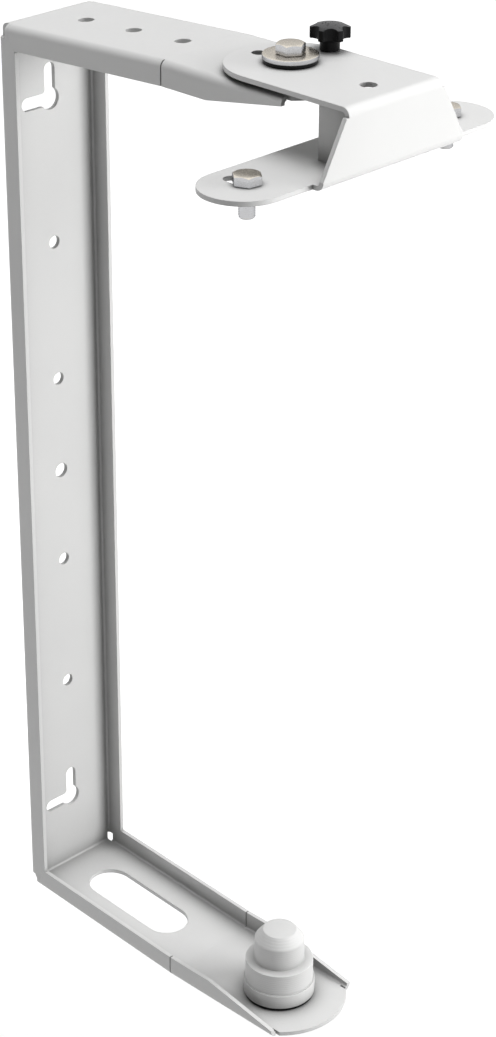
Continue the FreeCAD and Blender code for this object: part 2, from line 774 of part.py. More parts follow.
def make_knob():
    """The star knob and the screw moulded into it, which bears on the lower slip disc."""
    grip = new_body("knob_grip")
    profile = new_sketch(grip, "profile", "XZ_Plane")
    rim_low = D["knob_height"] - D["knob_rim_height"]
    rim_top = D["knob_height"] - D["knob_edge"]
    crown_reach = D["knob_radius"] - D["knob_edge"]
    crown_top = D["knob_height"] + D["knob_dome"]
    crown_radius = (crown_reach * crown_reach + D["knob_dome"] * D["knob_dome"]) / (D["knob_dome"] * 2)
    draw_outline(profile, [
        (D["screw_radius"], ZERO),
        (D["knob_hub_radius"], ZERO),
        (D["knob_hub_radius"], rim_low - D["knob_flare"]),
        (D["knob_hub_radius"] + D["knob_flare"], rim_low),
        (D["knob_radius"], rim_low),
        (D["knob_radius"], rim_top),
        (crown_reach, D["knob_height"]),
        (ZERO, crown_top, "x"),
        (ZERO, D["screw_insert"]),
        (D["screw_radius"], D["screw_insert"]),
    ], {6: (ZERO, crown_top - crown_radius)})
    turned = grip.newObject("PartDesign::Revolution", "knob_grip_turned")
    turned.Profile = profile
    turned.ReferenceAxis = (profile, ["V_Axis"])
    turned.Angle = 360
    finish_feature(turned)

    before = grip.Shape.Volume
    above = crown_top + D["cut_margin"]
    scallop = new_sketch(grip, "scallop", "XY_Plane", above)
    along = D["scallop_offset"] * cosine(D["scallop_turn"])
    across = D["scallop_offset"] * sine(D["scallop_turn"])
    draw_circle(scallop, (along, across), D["scallop_radius"])
    cut = sweep(grip, "Pocket", scallop, above - rim_low + D["knob_flare"])
    around = grip.newObject("PartDesign::PolarPattern", "knob_grip_scallops")
    around.Originals = [cut]
    around.Axis = (scallop, ["N_Axis"])
    around.Angle = 360
    bind(around, "Occurrences", D["knob_lobes"])
    grip.Tip = around
    finish_feature(around)
    if grip.Shape.Volume >= before:
        raise RuntimeError("the knob's scallops took nothing away")
    place(grip, D["pivot_reach"], D["knob_offset"], HEAD_TOP + D["knob_gap"])

    radius = D["screw_radius"]
    chamfer = D["bolt_tip_chamfer"]
    length = D["screw_insert"] + D["knob_gap"] + D["head_sheet"] - D["screw_tip_gap"]
    shank = cylinder("knob_screw_shank", radius, length - chamfer, chamfer)
    tip = cone("knob_screw_tip", radius - chamfer, radius, chamfer)
    screw = boolean("Fuse", "knob_screw", shank, tip)
    place(screw, D["pivot_reach"], D["knob_offset"], HEAD_UNDER + D["screw_tip_gap"])
    return [grip, screw]


def make_speaker_bolts():
    """Two bolts that stand in the strip's slots and point down into the speaker. Their thread
    starts below the strip."""
    neck_length = D["head_sheet"] + D["speaker_bolt_neck_spare"]
    bolts = []
    for side, across in (("left", -HALF_SPREAD), ("right", HALF_SPREAD)):
        name = f"speaker_bolt_{side}"
        bolt = necked_bolt(name, D["bolt_radius"], D["speaker_bolt_length"], D["bolt_flats"],
                           D["bolt_head_height"], D["speaker_bolt_turn"],
                           D["speaker_bolt_neck_radius"], neck_length)
        place(bolt, SPEAKER_BOLT_REACH, across, STRIP_TOP)
        bolts.append(bolt)
    pair = doc.addObject("Part::Compound", "speaker_bolts")
    pair.Links = bolts
    return pair


def make_spigot():
    """The turned post, the pad under it and the screw that holds it from below."""
    reach = D["pivot_reach"]
    floor = -ARM_INNER
    body = new_body("spigot")
    profile = new_sketch(body, "profile", "XZ_Plane")
    base_top = D["base_height"]
    collar_top = base_top + D["collar_height"]
    post_top = collar_top + D["spigot_post_height"]
    screw_room = D["spigot_screw_length"] - D["spigot_washer_thick"] - D["frame_sheet"] - D["pad_thick"]
    bore_top = screw_room + D["spigot_thread_spare"]
    draw_outline(profile, [
        (D["spigot_screw_radius"], ZERO),
        (D["base_radius"], ZERO),
        (D["base_radius"], base_top - D["base_edge"]),
        (D["base_radius"] - D["base_edge"], base_top),
        (D["collar_radius"], base_top),
        (D["collar_radius"], collar_top - D["collar_edge"]),
        (D["collar_radius"] - D["collar_edge"], collar_top),
        (D["spigot_radius"], collar_top),
        (D["spigot_radius"], post_top - D["spigot_chamfer_height"]),
        (D["spigot_radius"] - D["spigot_chamfer_run"], post_top),
        (ZERO, post_top),
        (ZERO, bore_top),
        (D["spigot_screw_radius"], bore_top),
    ])
    turned = body.newObject("PartDesign::Revolution", "spigot_turned")
    turned.Profile = profile
    turned.ReferenceAxis = (profile, ["V_Axis"])
    turned.Angle = 360
    place(body, reach, ZERO, floor + D["pad_thick"])

    hole = D["spigot_screw_radius"] + D["bolt_hole_clearance"]
    pad = ring("spigot_pad", D["pad_radius"], hole, D["pad_thick"])
    place(pad, reach, ZERO, floor)
    washer = ring("spigot_washer", D["spigot_washer_radius"], hole, D["spigot_washer_thick"])
    place(washer, reach, ZERO, -ARM_OUTER - D["spigot_washer_thick"])
    screw = hex_bolt("spigot_screw", D["spigot_screw_radius"], D["spigot_screw_length"],
                     D["spigot_screw_flats"], D["spigot_screw_head"], D["spigot_screw_turn"])
    screw.Placement.Rotation = FreeCAD.Rotation(FreeCAD.Vector(1, 0, 0), 180)
    place(screw, reach, ZERO, -ARM_OUTER - D["spigot_washer_thick"])
    return [body, pad, washer, screw]


def check(pieces):
    """Stops on any failed object, and on any piece without a valid solid."""
    for item in doc.Objects:
        if "Invalid" in item.State or "Error" in item.State:
            raise RuntimeError(f"{item.Name} failed: {item.State}")
    for piece in pieces:
        if piece.Shape.isNull() or not piece.Shape.isValid() or not piece.Shape.Solids:
            raise RuntimeError(f"{piece.Label} has no valid solid")


def main():
    half_spread = D["rib_spread"] / 2
    pieces = [make_wall_frame(), make_swivel_head()]
    pieces += [make_rib("head_rib_left", -half_spread), make_rib("head_rib_right", half_spread)]
    pieces += make_pivot_hardware() + make_knob() + [make_speaker_bolts()] + make_spigot()
    doc.recompute()
    check(pieces)
    os.makedirs("parts", exist_ok=True)
    for piece in pieces:
        piece.Shape.exportStep(os.path.join("parts", f"{piece.Label}.step"))
        box = piece.Shape.BoundBox
        print(f"{piece.Label}: {len(piece.Shape.Solids)} solid, {piece.Shape.Volume / 1000:.2f} cm3, "
              f"Z {box.ZMin:.1f} to {box.ZMax:.1f}")


main()
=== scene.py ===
import bmesh
import bpy
import json
import math
from mathutils import Matrix, Vector


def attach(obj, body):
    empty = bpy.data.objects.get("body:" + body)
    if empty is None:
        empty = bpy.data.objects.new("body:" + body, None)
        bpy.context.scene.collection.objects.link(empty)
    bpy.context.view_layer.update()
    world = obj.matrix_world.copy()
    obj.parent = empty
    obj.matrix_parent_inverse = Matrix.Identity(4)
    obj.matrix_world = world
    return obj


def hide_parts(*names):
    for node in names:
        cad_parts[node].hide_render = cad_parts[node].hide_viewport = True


# Speaker wall bracket, dressed for the studio: +X out from the wall, +Y towards the knob's side, +Z up.
# The sizes of pieces are in millimetres. Finishes and the studio are in metres, as Blender has them.

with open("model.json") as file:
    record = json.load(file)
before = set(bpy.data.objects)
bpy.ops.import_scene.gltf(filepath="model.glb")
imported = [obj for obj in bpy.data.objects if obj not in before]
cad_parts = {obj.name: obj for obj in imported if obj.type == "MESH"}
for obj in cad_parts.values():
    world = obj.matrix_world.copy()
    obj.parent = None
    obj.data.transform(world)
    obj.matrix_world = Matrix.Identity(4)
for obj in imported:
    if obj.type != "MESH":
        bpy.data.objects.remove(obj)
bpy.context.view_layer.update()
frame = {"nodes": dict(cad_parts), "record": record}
nodes = frame["nodes"]
mm = 0.001
upright = Vector((0, 0, 1))


# finishes

probeSamples = {"edge": 6, "fold": 8}


def newFinish(name):
    finish = bpy.data.materials.new(name)
    finish.use_nodes = True
    tree = finish.node_tree
    return finish, tree, tree.nodes["Principled BSDF"]


def addNoise(tree, coords, scale, detail, roughness=0.5):
    noise = tree.nodes.new("ShaderNodeTexNoise")
    noise.inputs["Scale"].default_value = scale
    noise.inputs["Detail"].default_value = detail
    noise.inputs["Roughness"].default_value = roughness
    tree.links.new(coords, noise.inputs["Vector"])
    return noise.outputs["Fac"]


def addRange(tree, value, low, high, start=0.3, end=0.7):
    spread = tree.nodes.new("ShaderNodeMapRange")
    spread.inputs["From Min"].default_value = start
    spread.inputs["From Max"].default_value = end
    spread.inputs["To Min"].default_value = low
    spread.inputs["To Max"].default_value = high
    tree.links.new(value, spread.inputs["Value"])
    return spread.outputs["Result"]


def addMix(tree, factor, first, second, blend="MIX"):
    mix = tree.nodes.new("ShaderNodeMix")
    mix.data_type = "RGBA"
    mix.blend_type = blend
    for socket, colour in ((mix.inputs["A"], first), (mix.inputs["B"], second)):
        if isinstance(colour, tuple):
            socket.default_value = (*colour, 1)
        else:
            tree.links.new(colour, socket)
    tree.links.new(factor, mix.inputs["Factor"])
    return mix.outputs["Result"]


def addUpward(tree, place):
    facing = tree.nodes.new("ShaderNodeSeparateXYZ")
    tree.links.new(place.outputs["Normal"], facing.inputs["Vector"])
    return facing.outputs["Z"]


def addBump(tree, shader, height, depth, strength, edge=0.0):
    bump = tree.nodes.new("ShaderNodeBump")
    bump.inputs["Distance"].default_value = depth
    bump.inputs["Strength"].default_value = strength
    tree.links.new(height, bump.inputs["Height"])
    if edge:  # softens the hard edges of cut sheet
        soft = tree.nodes.new("ShaderNodeBevel")
        soft.samples = probeSamples["edge"]
        soft.inputs["Radius"].default_value = edge
        tree.links.new(soft.outputs["Normal"], bump.inputs["Normal"])
    tree.links.new(bump.outputs["Normal"], shader.inputs["Normal"])


powderLook = {
    "paleTone": (0.78, 0.78, 0.775),
    "deepTone": (0.745, 0.745, 0.742),
    "cloudScale": 9,
    # painted shade: the coat is darkened where ambient occlusion finds surfaces close by
    "paintedShades": (
        {"tone": (0.405, 0.405, 0.405), "reach": 0.019, "shut": 0.5, "open": 0.9},
    ),
    "roughLow": 0.46,
    "roughHigh": 0.58,
    "speckleScale": 420,
    "peelScale": 1150,
    "peelDepth": 0.00005,
    "relief": 0.5,
    "edge": 0.0006,
}
frameLook = {  # painted shade: its long corners get a second, wider painted corner shade, which the head has not
    **powderLook,
    "paintedShades": (
        {"tone": (0.64, 0.64, 0.64), "reach": 0.017, "shut": 0.5, "open": 0.9},
        {"tone": (0.66, 0.66, 0.66), "reach": 0.05, "shut": 0.42, "open": 0.95},
    ),
}
seamLook = {**frameLook, "edge": 0}  # dressed flush, so no edge shows
turnedLook = {
    **powderLook,
    # painted shade: darker in the corner where the post meets the collar
    "paintedShades": (
        {"tone": (0.54, 0.54, 0.537), "reach": 0.013, "shut": 0.52, "open": 0.96},
    ),
    "ringScale": 190,
    "ringDrift": 1.5,
    "ringDetail": 2,
    "ringTone": (0.76, 0.76, 0.755),
    "ringDepth": 0.00012,
}


def makePowderCoat(name, look):
    finish, tree, shader = newFinish(name)
    coords = tree.nodes.new("ShaderNodeTexCoord").outputs["Object"]
    cloud = addRange(tree, addNoise(tree, coords, look["cloudScale"], detail=3), 0, 1)
    tone = addMix(tree, cloud, look["deepTone"], look["paleTone"])
    relief = addNoise(tree, coords, look["peelScale"], detail=2)
    depth = look["peelDepth"]
    if "ringScale" in look:  # the turning tool's lines show through the coat
        rings = tree.nodes.new("ShaderNodeTexWave")
        rings.bands_direction = "Z"
        rings.inputs["Scale"].default_value = look["ringScale"]
        rings.inputs["Distortion"].default_value = look["ringDrift"]
        rings.inputs["Detail"].default_value = look["ringDetail"]
        tree.links.new(coords, rings.inputs["Vector"])
        relief = rings.outputs["Fac"]
        depth = look["ringDepth"]
        tone = addMix(tree, relief, tone, look["ringTone"])
    for shade in look["paintedShades"]:  # painted shade: the coat is darkened by ambient occlusion near folds and corners, close to them and wide
        corner = tree.nodes.new("ShaderNodeAmbientOcclusion")
        corner.samples = probeSamples["fold"]
        corner.inputs["Distance"].default_value = shade["reach"]
        paintedShadeAmount = addRange(tree, corner.outputs["AO"], 1, 0, shade["shut"], shade["open"])
        tone = addMix(tree, paintedShadeAmount, tone, shade["tone"], "MULTIPLY")
    tree.links.new(tone, shader.inputs["Base Color"])
    speckle = addNoise(tree, coords, look["speckleScale"], detail=2)
    rough = addRange(tree, speckle, look["roughLow"], look["roughHigh"])
    tree.links.new(rough, shader.inputs["Roughness"])
    addBump(tree, shader, relief, depth, look["relief"], look["edge"])
    return finish


zincLook = {
    # painted reflection: the up-facing tone and the flank tone stand in for reflections on top and on the
    # flanks
    "topToneWithPaintedReflection": (0.85, 0.79, 0.69),
    "sideToneWithPaintedReflection": (0.60, 0.605, 0.625),
    "dullTone": (0.50, 0.48, 0.45),
    "dullShare": 0.3,
    "edgeTint": (0.4, 0.4, 0.41),
    "blotchScale": 260,
    "blotchRough": 0.6,
    "roughLow": 0.2,
    "roughHigh": 0.3,
    "grainScale": 1500,
    "grainDepth": 0.00001,
    "relief": 0.25,
    "edge": 0.00025,
}


def makeZinc(look):
    finish, tree, shader = newFinish("zincPlate")
    shader.inputs["Metallic"].default_value = 1
    shader.inputs["Specular Tint"].default_value = (*look["edgeTint"], 1)
    place = tree.nodes.new("ShaderNodeTexCoord")
    coords = place.outputs["Object"]
    top = addRange(tree, addUpward(tree, place), 0, 1)  # painted reflection: the plating is painted warmer on top and cooler on the flanks, for what each side reflects
    platingWithPaintedReflection = addMix(tree, top, look["sideToneWithPaintedReflection"], look["topToneWithPaintedReflection"])
    blotch = addNoise(tree, coords, look["blotchScale"], detail=4, roughness=look["blotchRough"])
    dull = addRange(tree, blotch, 0, look["dullShare"])
    tree.links.new(addMix(tree, dull, platingWithPaintedReflection, look["dullTone"]), shader.inputs["Base Color"])
    grain = addNoise(tree, coords, look["grainScale"], detail=3)
    rough = addRange(tree, grain, look["roughLow"], look["roughHigh"])
    tree.links.new(rough, shader.inputs["Roughness"])
    addBump(tree, shader, grain, look["grainDepth"], look["relief"], look["edge"])
    return finish


plasticLook = {
    "darkTone": (0.003, 0.003, 0.0033),
    "paleTone": (0.006, 0.006, 0.0065),
    "cloudScale": 180,
    # painted sheen: the up-facing crown is painted paler than the black grip
    "paintedCrownSheen": (0.088, 0.088, 0.09),
    "paintedSheenShare": 0.9,
    "gloss": 0.16,
    "roughLow": 0.36,
    "roughHigh": 0.5,
    "grainScale": 1700,
    "grainDepth": 0.00005,
    "relief": 0.5,
    "edge": 0.0003,
}


def makePlastic(look):
    finish, tree, shader = newFinish("blackPlastic")
    shader.inputs["Specular IOR Level"].default_value = look["gloss"]
    place = tree.nodes.new("ShaderNodeTexCoord")
    coords = place.outputs["Object"]
    cloud = addRange(tree, addNoise(tree, coords, look["cloudScale"], detail=3), 0, 1)
    tone = addMix(tree, cloud, look["darkTone"], look["paleTone"])
    paintedSheenMask = addRange(tree, addUpward(tree, place), 0, look["paintedSheenShare"])  # painted sheen: the crown is painted grey as if it caught the light, the grip stays black
    tree.links.new(addMix(tree, paintedSheenMask, tone, look["paintedCrownSheen"]), shader.inputs["Base Color"])
    grain = addNoise(tree, coords, look["grainScale"], detail=2)
    rough = addRange(tree, grain, look["roughLow"], look["roughHigh"])
    tree.links.new(rough, shader.inputs["Roughness"])
    addBump(tree, shader, grain, look["grainDepth"], look["relief"], look["edge"])
    return finish


powderCoat = makePowderCoat("powderCoat", powderLook)
turnedCoat = makePowderCoat("turnedCoat", turnedLook)
frameCoat = makePowderCoat("frameCoat", frameLook)
seamCoat = makePowderCoat("seamCoat", seamLook)
zincPlate = makeZinc(zincLook)
blackPlastic = makePlastic(plasticLook)

slotFinish = {"powder_coat": powderCoat, "zinc": zincPlate, "black_plastic": blackPlastic}
slotOf = {subpart["node"]: subpart["material_slot"] for subpart in frame["record"]["subparts"]}
for name, slot in slotOf.items():
    nodes[name].data.materials.clear()
    nodes[name].data.materials.append(slotFinish[slot])
nodes["wall_frame"].data.materials[0] = frameCoat
print("finishes:", len(bpy.data.materials), "made")


# shop tools

def placeMesh(name, bm, finish):
    mesh = bpy.data.meshes.new(name)
    bm.to_mesh(mesh)
    bm.free()
    mesh.materials.append(finish)
    piece = bpy.data.objects.new(name, mesh)
    bpy.context.scene.collection.objects.link(piece)
    return piece


def addPiece(name, bm, finish, body, node=None):
    piece = placeMesh(name, bm, finish)
    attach(piece, body)
    if node:
        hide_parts(node)


def ofKind(items, kind):
    return [item for item in items if isinstance(item, kind)]


def sharpEdges(bm, angle):
    shared = [edge for edge in bm.edges if len(edge.link_faces) == 2]
    return [edge for edge in shared if edge.calc_face_angle(0) > math.radians(angle)]


def bevelEdges(bm, edges, size, segments=3):
    bmesh.ops.bevel(bm, geom=edges, offset=size, offset_type="OFFSET", affect="EDGES", segments=segments,
                    profile=0.5, material=-1, clamp_overlap=True)


def smoothShade(bm, angle=40):
    for face in bm.faces:
        face.smooth = True
    for edge in bm.edges:
        if len(edge.link_faces) == 2:
            edge.smooth = edge.calc_face_angle(0) < math.radians(angle)


def moveAll(bm, place):
    bmesh.ops.translate(bm, verts=bm.verts, vec=Vector(place) * mm)


def turnAll(bm, angle, axis):
    turned = Matrix.Rotation(math.radians(angle), 3, axis)
    bmesh.ops.rotate(bm, verts=bm.verts, cent=(0, 0, 0), matrix=turned)


def joinInto(bm, other):
    holder = bpy.data.meshes.new("holder")
    other.to_mesh(holder)
    other.free()
    bm.from_mesh(holder)
    bpy.data.meshes.remove(holder)


def sliceOff(bm, point, outward):
    cut = bmesh.ops.bisect_plane(bm, geom=bm.verts[:] + bm.edges[:] + bm.faces[:], dist=1e-8,
                                 plane_co=point, plane_no=outward, clear_outer=True)
    bmesh.ops.contextual_create(bm, geom=ofKind(cut["geom_cut"], bmesh.types.BMEdge))


def spinPoint(bm, point, centre, angle, steps):
    made = bmesh.ops.spin(bm, geom=[point], cent=centre, axis=upright, angle=angle, steps=steps,
                          use_merge=False)
    return ofKind(made["geom_last"], bmesh.types.BMVert)[0]


def spinSection(bm, section, steps):
    ring = [bm.verts.new((radius * mm, 0, height * mm)) for radius, height in section]
    first = 1 if section[0][0] == 0 else 0  # a section that starts on the axis isn't closed there
    edges = [bm.edges.new((ring[number - 1], ring[number])) for number in range(first, len(ring))]
    bmesh.ops.spin(bm, geom=ring + edges, cent=(0, 0, 0), axis=upright, angle=2 * math.pi,
                   steps=steps, use_merge=True)
    bmesh.ops.remove_doubles(bm, verts=bm.verts, dist=1e-7)
    bmesh.ops.recalc_face_normals(bm, faces=bm.faces)


# turned pieces: sections are radius and height, from the piece's own foot

pivotPlace = (219, 0)
turnedEdge = 25  # degrees past which an edge is rounded

spigot = {
    "foot": -331.0,
    "edge": 0.35,
    "steps": 128,
    "section": [(0, 26.0), (6.0, 26.0), (6.0, 0), (25.0, 0), (25.0, 10.5), (23.7, 10.5), (23.7, 26.5),
                (17.5, 26.5), (17.5, 43.3), (11.8, 50.5), (0, 50.5)],
}
washers = {
    "pivotWasher": {
        "node": "pivot_washer", "foot": 344.5, "outer": 17.0, "inner": 5.25, "thick": 3.0, "edge": 0.55,
    },
    "underWasher": {
        "node": "pivot_under_washer", "foot": 331.9, "outer": 10.0, "inner": 5.25, "thick": 1.6, "edge": 0.3,
    },
    "spigotWasher": {
        "node": "spigot_washer", "foot": -339.0, "outer": 12.0, "inner": 6.25, "thick": 2.5, "edge": 0.3,
    },
    "upperSlipWasher": {
        "node": "upper_slip_washer", "foot": 342.0, "outer": 16.4, "inner": 5.25, "thick": 2.5, "edge": 0.4,
    },
    # partly painted shadow: this black disc is nearly as wide as the tongue, so that its edge stands in for
    # the shadowed gap under the tongue
    "lowerSlipDiscAndPaintedShadow": {
        "node": "lower_slip_disc", "foot": 336.5, "outer": 37.0, "inner": 5.25, "thick": 2.5, "edge": 0.4,
    },
    "spigotPad": {
        "node": "spigot_pad", "foot": -333.5, "outer": 24.2, "inner": 6.25, "thick": 2.5, "edge": 0.5,
    },
}


def turnPiece(section, foot, edge, steps=96):
    bm = bmesh.new()
    spinSection(bm, section, steps)
    bevelEdges(bm, sharpEdges(bm, turnedEdge), edge * mm)
    moveAll(bm, (*pivotPlace, foot))
    smoothShade(bm)
    return bm


def washerSection(outer, inner, thick):
    return [(inner, 0), (outer, 0), (outer, thick), (inner, thick)]


post = turnPiece(spigot["section"], spigot["foot"], spigot["edge"], spigot["steps"])
addPiece("spigotPost", post, turnedCoat, "frame", "spigot")
for name, size in washers.items():
    slot = slotOf[size["node"]]
    section = washerSection(size["outer"], size["inner"], size["thick"])
    washer = turnPiece(section, size["foot"], size["edge"])
    addPiece(name, washer, slotFinish[slot], "frame", size["node"])
print("turned pieces:", len(washers) + 1, "made")


# bolts and the lock nut

boltHead = {
    "cornerShare": 0.96, "chamfer": 30, "edge": 0.12, "sharp": 25, "crease": 20,
    "faceShare": 0.92, "faceLap": 0.2, "neckLap": 0.4,
}
thread = {
    "depth": 0.2, "rootEnd": 0.25, "crestStart": 0.5625, "crestEnd": 0.6875,  # shares of the pitch
    "spareTurns": 3, "spareBelow": 2, "steps": 40, "tip": 0.8, "crease": 50,
}
halfSector = 30  # degrees from a corner of a hexagon to the middle of its flat


def cutCone(bm, radius, height, flip=1, cuts=48):
    tilt = math.radians(boltHead["chamfer"])
    for number in range(cuts):  # planes round a cone leave the turned-off corners of a hexagon
        angle = 2 * math.pi * number / cuts
        along = Vector((math.cos(angle), math.sin(angle), 0))
        slope = along * math.sin(tilt) + upright * flip * math.cos(tilt)
        sliceOff(bm, along * radius * mm + upright * height * mm, slope)


def hexBlock(flats, low, high, turned, bore=0.0):
    bm = bmesh.new()
    bmesh.ops.create_circle(bm, segments=6, radius=flats / math.sqrt(3) * mm, cap_ends=not bore)
    turnAll(bm, turned + halfSector, "Z")
    if bore:
        bmesh.ops.create_circle(bm, segments=48, radius=bore * mm, cap_ends=False)
        bmesh.ops.bridge_loops(bm, edges=bm.edges[:])
    grown = bmesh.ops.extrude_face_region(bm, geom=bm.faces[:])
    top = ofKind(grown["geom"], bmesh.types.BMVert)
    bmesh.ops.translate(bm, verts=top, vec=(0, 0, (high - low) * mm))
    moveAll(bm, (0, 0, low))
    bmesh.ops.recalc_face_normals(bm, faces=bm.faces)
    return bm


def threadedRod(radius, pitch, high, low):
    rod = bmesh.new()
    root = radius - thread["depth"] * pitch
    form = ((0.0, root), (thread["rootEnd"], root),
            (thread["crestStart"], radius), (thread["crestEnd"], radius))
    turns = math.ceil((high - low) / pitch) + thread["spareTurns"]
    chain = []
    for number in range(turns):
        for share, reach in form:
            height = low - thread["spareBelow"] * pitch + (number + share) * pitch
            chain.append(rod.verts.new((reach * mm, 0, height * mm)))
    links = [rod.edges.new(pair) for pair in zip(chain, chain[1:])]
    steps = thread["steps"]
    bmesh.ops.spin(rod, geom=chain + links, cent=(0, 0, 0), axis=upright, angle=2 * math.pi,
                   dvec=upright * pitch * mm / steps, steps=steps, use_merge=False)
    bmesh.ops.remove_doubles(rod, verts=rod.verts, dist=1e-6)
    for height, side in ((high, 1), (low, -1)):  # the spare turns go
        sliceOff(rod, upright * height * mm, upright * side)
    for vert in rod.verts:  # lead-in at the tip
        reach = math.hypot(vert.co.x, vert.co.y)
        limit = (radius - thread["tip"]) * mm + (vert.co.z - low * mm)
        if reach > limit:
            vert.co.x *= limit / reach
            vert.co.y *= limit / reach
    bmesh.ops.recalc_face_normals(rod, faces=rod.faces)
    smoothShade(rod, thread["crease"])
    return rod


def plainRod(radius, high, low):
    rod = bmesh.new()
    bmesh.ops.create_cone(rod, cap_ends=True, segments=48, radius1=radius * mm, radius2=radius * mm,
                          depth=(high - low) * mm)
    moveAll(rod, (0, 0, (high + low) / 2))
    smoothShade(rod)
    return rod


def makeBolt(size):
    half = size["flats"] / 2
    bolt = hexBlock(size["flats"], size["seat"], size["headHeight"], size["turned"])
    cutCone(bolt, half * boltHead["cornerShare"], size["headHeight"])
    bevelEdges(bolt, sharpEdges(bolt, boltHead["sharp"]), boltHead["edge"] * mm, segments=2)
    smoothShade(bolt, boltHead["crease"])
    washerFace = plainRod(half * boltHead["faceShare"], size["seat"] + boltHead["faceLap"], 0)
    joinInto(bolt, washerFace)
    joinInto(bolt, plainRod(size["neck"], size["seat"], size["threadTop"] - boltHead["neckLap"]))
    joinInto(bolt, threadedRod(size["radius"], size["pitch"], size["threadTop"], -size["length"]))
    return bolt


speakerBolt = {
    "flats": 16.0, "headHeight": 6.4, "seat": 0.4, "turned": 22.0, "radius": 5.0, "pitch": 1.5,
    "neck": 4.5, "threadTop": -4.0, "length": 20.0, "foot": 300.5, "reach": 268.0, "spread": 172.0,
}
boltPair = bmesh.new()
for side in (-0.5, 0.5):
    bolt = makeBolt(speakerBolt)
    moveAll(bolt, (speakerBolt["reach"], side * speakerBolt["spread"], speakerBolt["foot"]))
    joinInto(boltPair, bolt)
addPiece("speakerBolts", boltPair, zincPlate, "head", "speaker_bolts")

pivotBolt = {
    "flats": 16.0, "headHeight": 6.4, "seat": 0.4, "turned": 57.5, "radius": 5.0, "pitch": 1.5,
    "neck": 5.0, "threadTop": -13.0, "length": 22.0, "foot": 347.5,
}
bolt = makeBolt(pivotBolt)
moveAll(bolt, (*pivotPlace, pivotBolt["foot"]))
addPiece("pivotBolt", bolt, zincPlate, "frame", "pivot_bolt")

spigotScrew = {
    "flats": 18.0, "headHeight": 7.5, "seat": 0.4, "turned": 0.0, "radius": 6.0, "pitch": 1.75,
    "neck": 6.0, "threadTop": -9.0, "length": 30.0, "foot": -339.0,
}
screw = makeBolt(spigotScrew)
turnAll(screw, 180, "X")  # its head is below
moveAll(screw, (*pivotPlace, spigotScrew["foot"]))
addPiece("spigotScrew", screw, zincPlate, "frame", "spigot_screw")

lockNut = {"flats": 16.0, "low": 325.9, "high": 331.9, "turned": 0, "bore": 5.0, "cornerShare": 0.97}
nut = hexBlock(lockNut["flats"], lockNut["low"], lockNut["high"], lockNut["turned"], lockNut["bore"])
for height, flip in ((lockNut["high"], 1), (lockNut["low"], -1)):
    cutCone(nut, lockNut["flats"] / 2 * lockNut["cornerShare"], height, flip)
smoothShade(nut, boltHead["crease"])
moveAll(nut, (*pivotPlace, 0))
addPiece("lockNut", nut, zincPlate, "frame", "pivot_lock_nut")
print("bolts and nut: 5 made")


# welds at the frame's corners, dressed flush: they close the mitre and the arm's side of the notch

cornerWeld = {
    "halfWidth": 40.0, "halfHeight": 328.0, "sheet": 3.0, "innerBend": 1.5, "slope": 8.5 / 150,
    "notch": 8.5, "start": 7.0, "lap": 1.0, "proud": 0.04, "arcSteps": 8,
    "seams": ({"end": 15.4, "wide": 1.9, "proud": 0.02}, {"end": 15.85, "wide": 0.52, "proud": 0.0}),
}


def fillNotch(bm, size):
    bend = size["sheet"] + size["innerBend"]
    middle = size["halfWidth"] - bend
    level = size["halfHeight"] - bend
    low = size["halfHeight"] - size["notch"] - size["lap"]
    outer = bend + size["proud"]
    inner = size["innerBend"] - size["proud"]
    centre = Vector((middle, level, 0)) * mm
    crown = bm.verts.new(Vector((middle, level + outer, 0)) * mm)
    side = spinPoint(bm, crown, centre, -math.pi / 2, size["arcSteps"])
    foot = bm.verts.new(Vector((middle + outer, low, 0)) * mm)
    heel = bm.verts.new(Vector((middle + inner, low, 0)) * mm)
    knee = bm.verts.new(Vector((middle + inner, level, 0)) * mm)
    roof = spinPoint(bm, knee, centre, math.pi / 2, size["arcSteps"])
    for ends in ((side, foot), (foot, heel), (heel, knee), (roof, crown)):
        bm.edges.new(ends)
    bmesh.ops.contextual_create(bm, geom=bm.edges[:])
    grown = bmesh.ops.extrude_face_region(bm, geom=bm.faces[:])
    run = size["notch"] + size["lap"] - size["start"]
    bmesh.ops.translate(bm, verts=ofKind(grown["geom"], bmesh.types.BMVert),
                        vec=Vector((0, size["slope"] * run, run)) * mm)
    moveAll(bm, (0, size["slope"] * size["start"], size["start"]))
    stand = Matrix(((0, 0, 1, 0), (-1, 0, 0, 0), (0, 1, 0, 0), (0, 0, 0, 1)))  # its run goes to the front
    bmesh.ops.transform(bm, matrix=stand, verts=bm.verts)


def fillMitre(bm, size, seam):
    half = (size["notch"] + seam["end"]) / 2
    place = Vector((half, size["sheet"] / 2 - size["halfWidth"], size["halfHeight"] - half)) * mm
    long = (seam["end"] - size["notch"]) * math.sqrt(2)
    thick = size["sheet"] + 2 * seam["proud"]
    across = Matrix.Translation(place) @ Matrix.Rotation(math.pi / 4, 4, "Y")
    stretch = Matrix.Diagonal((long * mm, thick * mm, seam["wide"] * mm, 1))
    bmesh.ops.create_cube(bm, size=1, matrix=across @ stretch)


def makeCornerWelds(size):
    bm = bmesh.new()
    fillNotch(bm, size)
    for seam in size["seams"]:
        fillMitre(bm, size, seam)
    for axis in ("Y", "Z"):  # one corner becomes four
        bmesh.ops.mirror(bm, geom=bm.verts[:] + bm.edges[:] + bm.faces[:], axis=axis,
                         matrix=Matrix.Identity(4), merge_dist=1e-9)
    bmesh.ops.recalc_face_normals(bm, faces=bm.faces)
    smoothShade(bm)
    return bm


addPiece("cornerWelds", makeCornerWelds(cornerWeld), seamCoat, "frame")
print("corner welds made")


# star knob

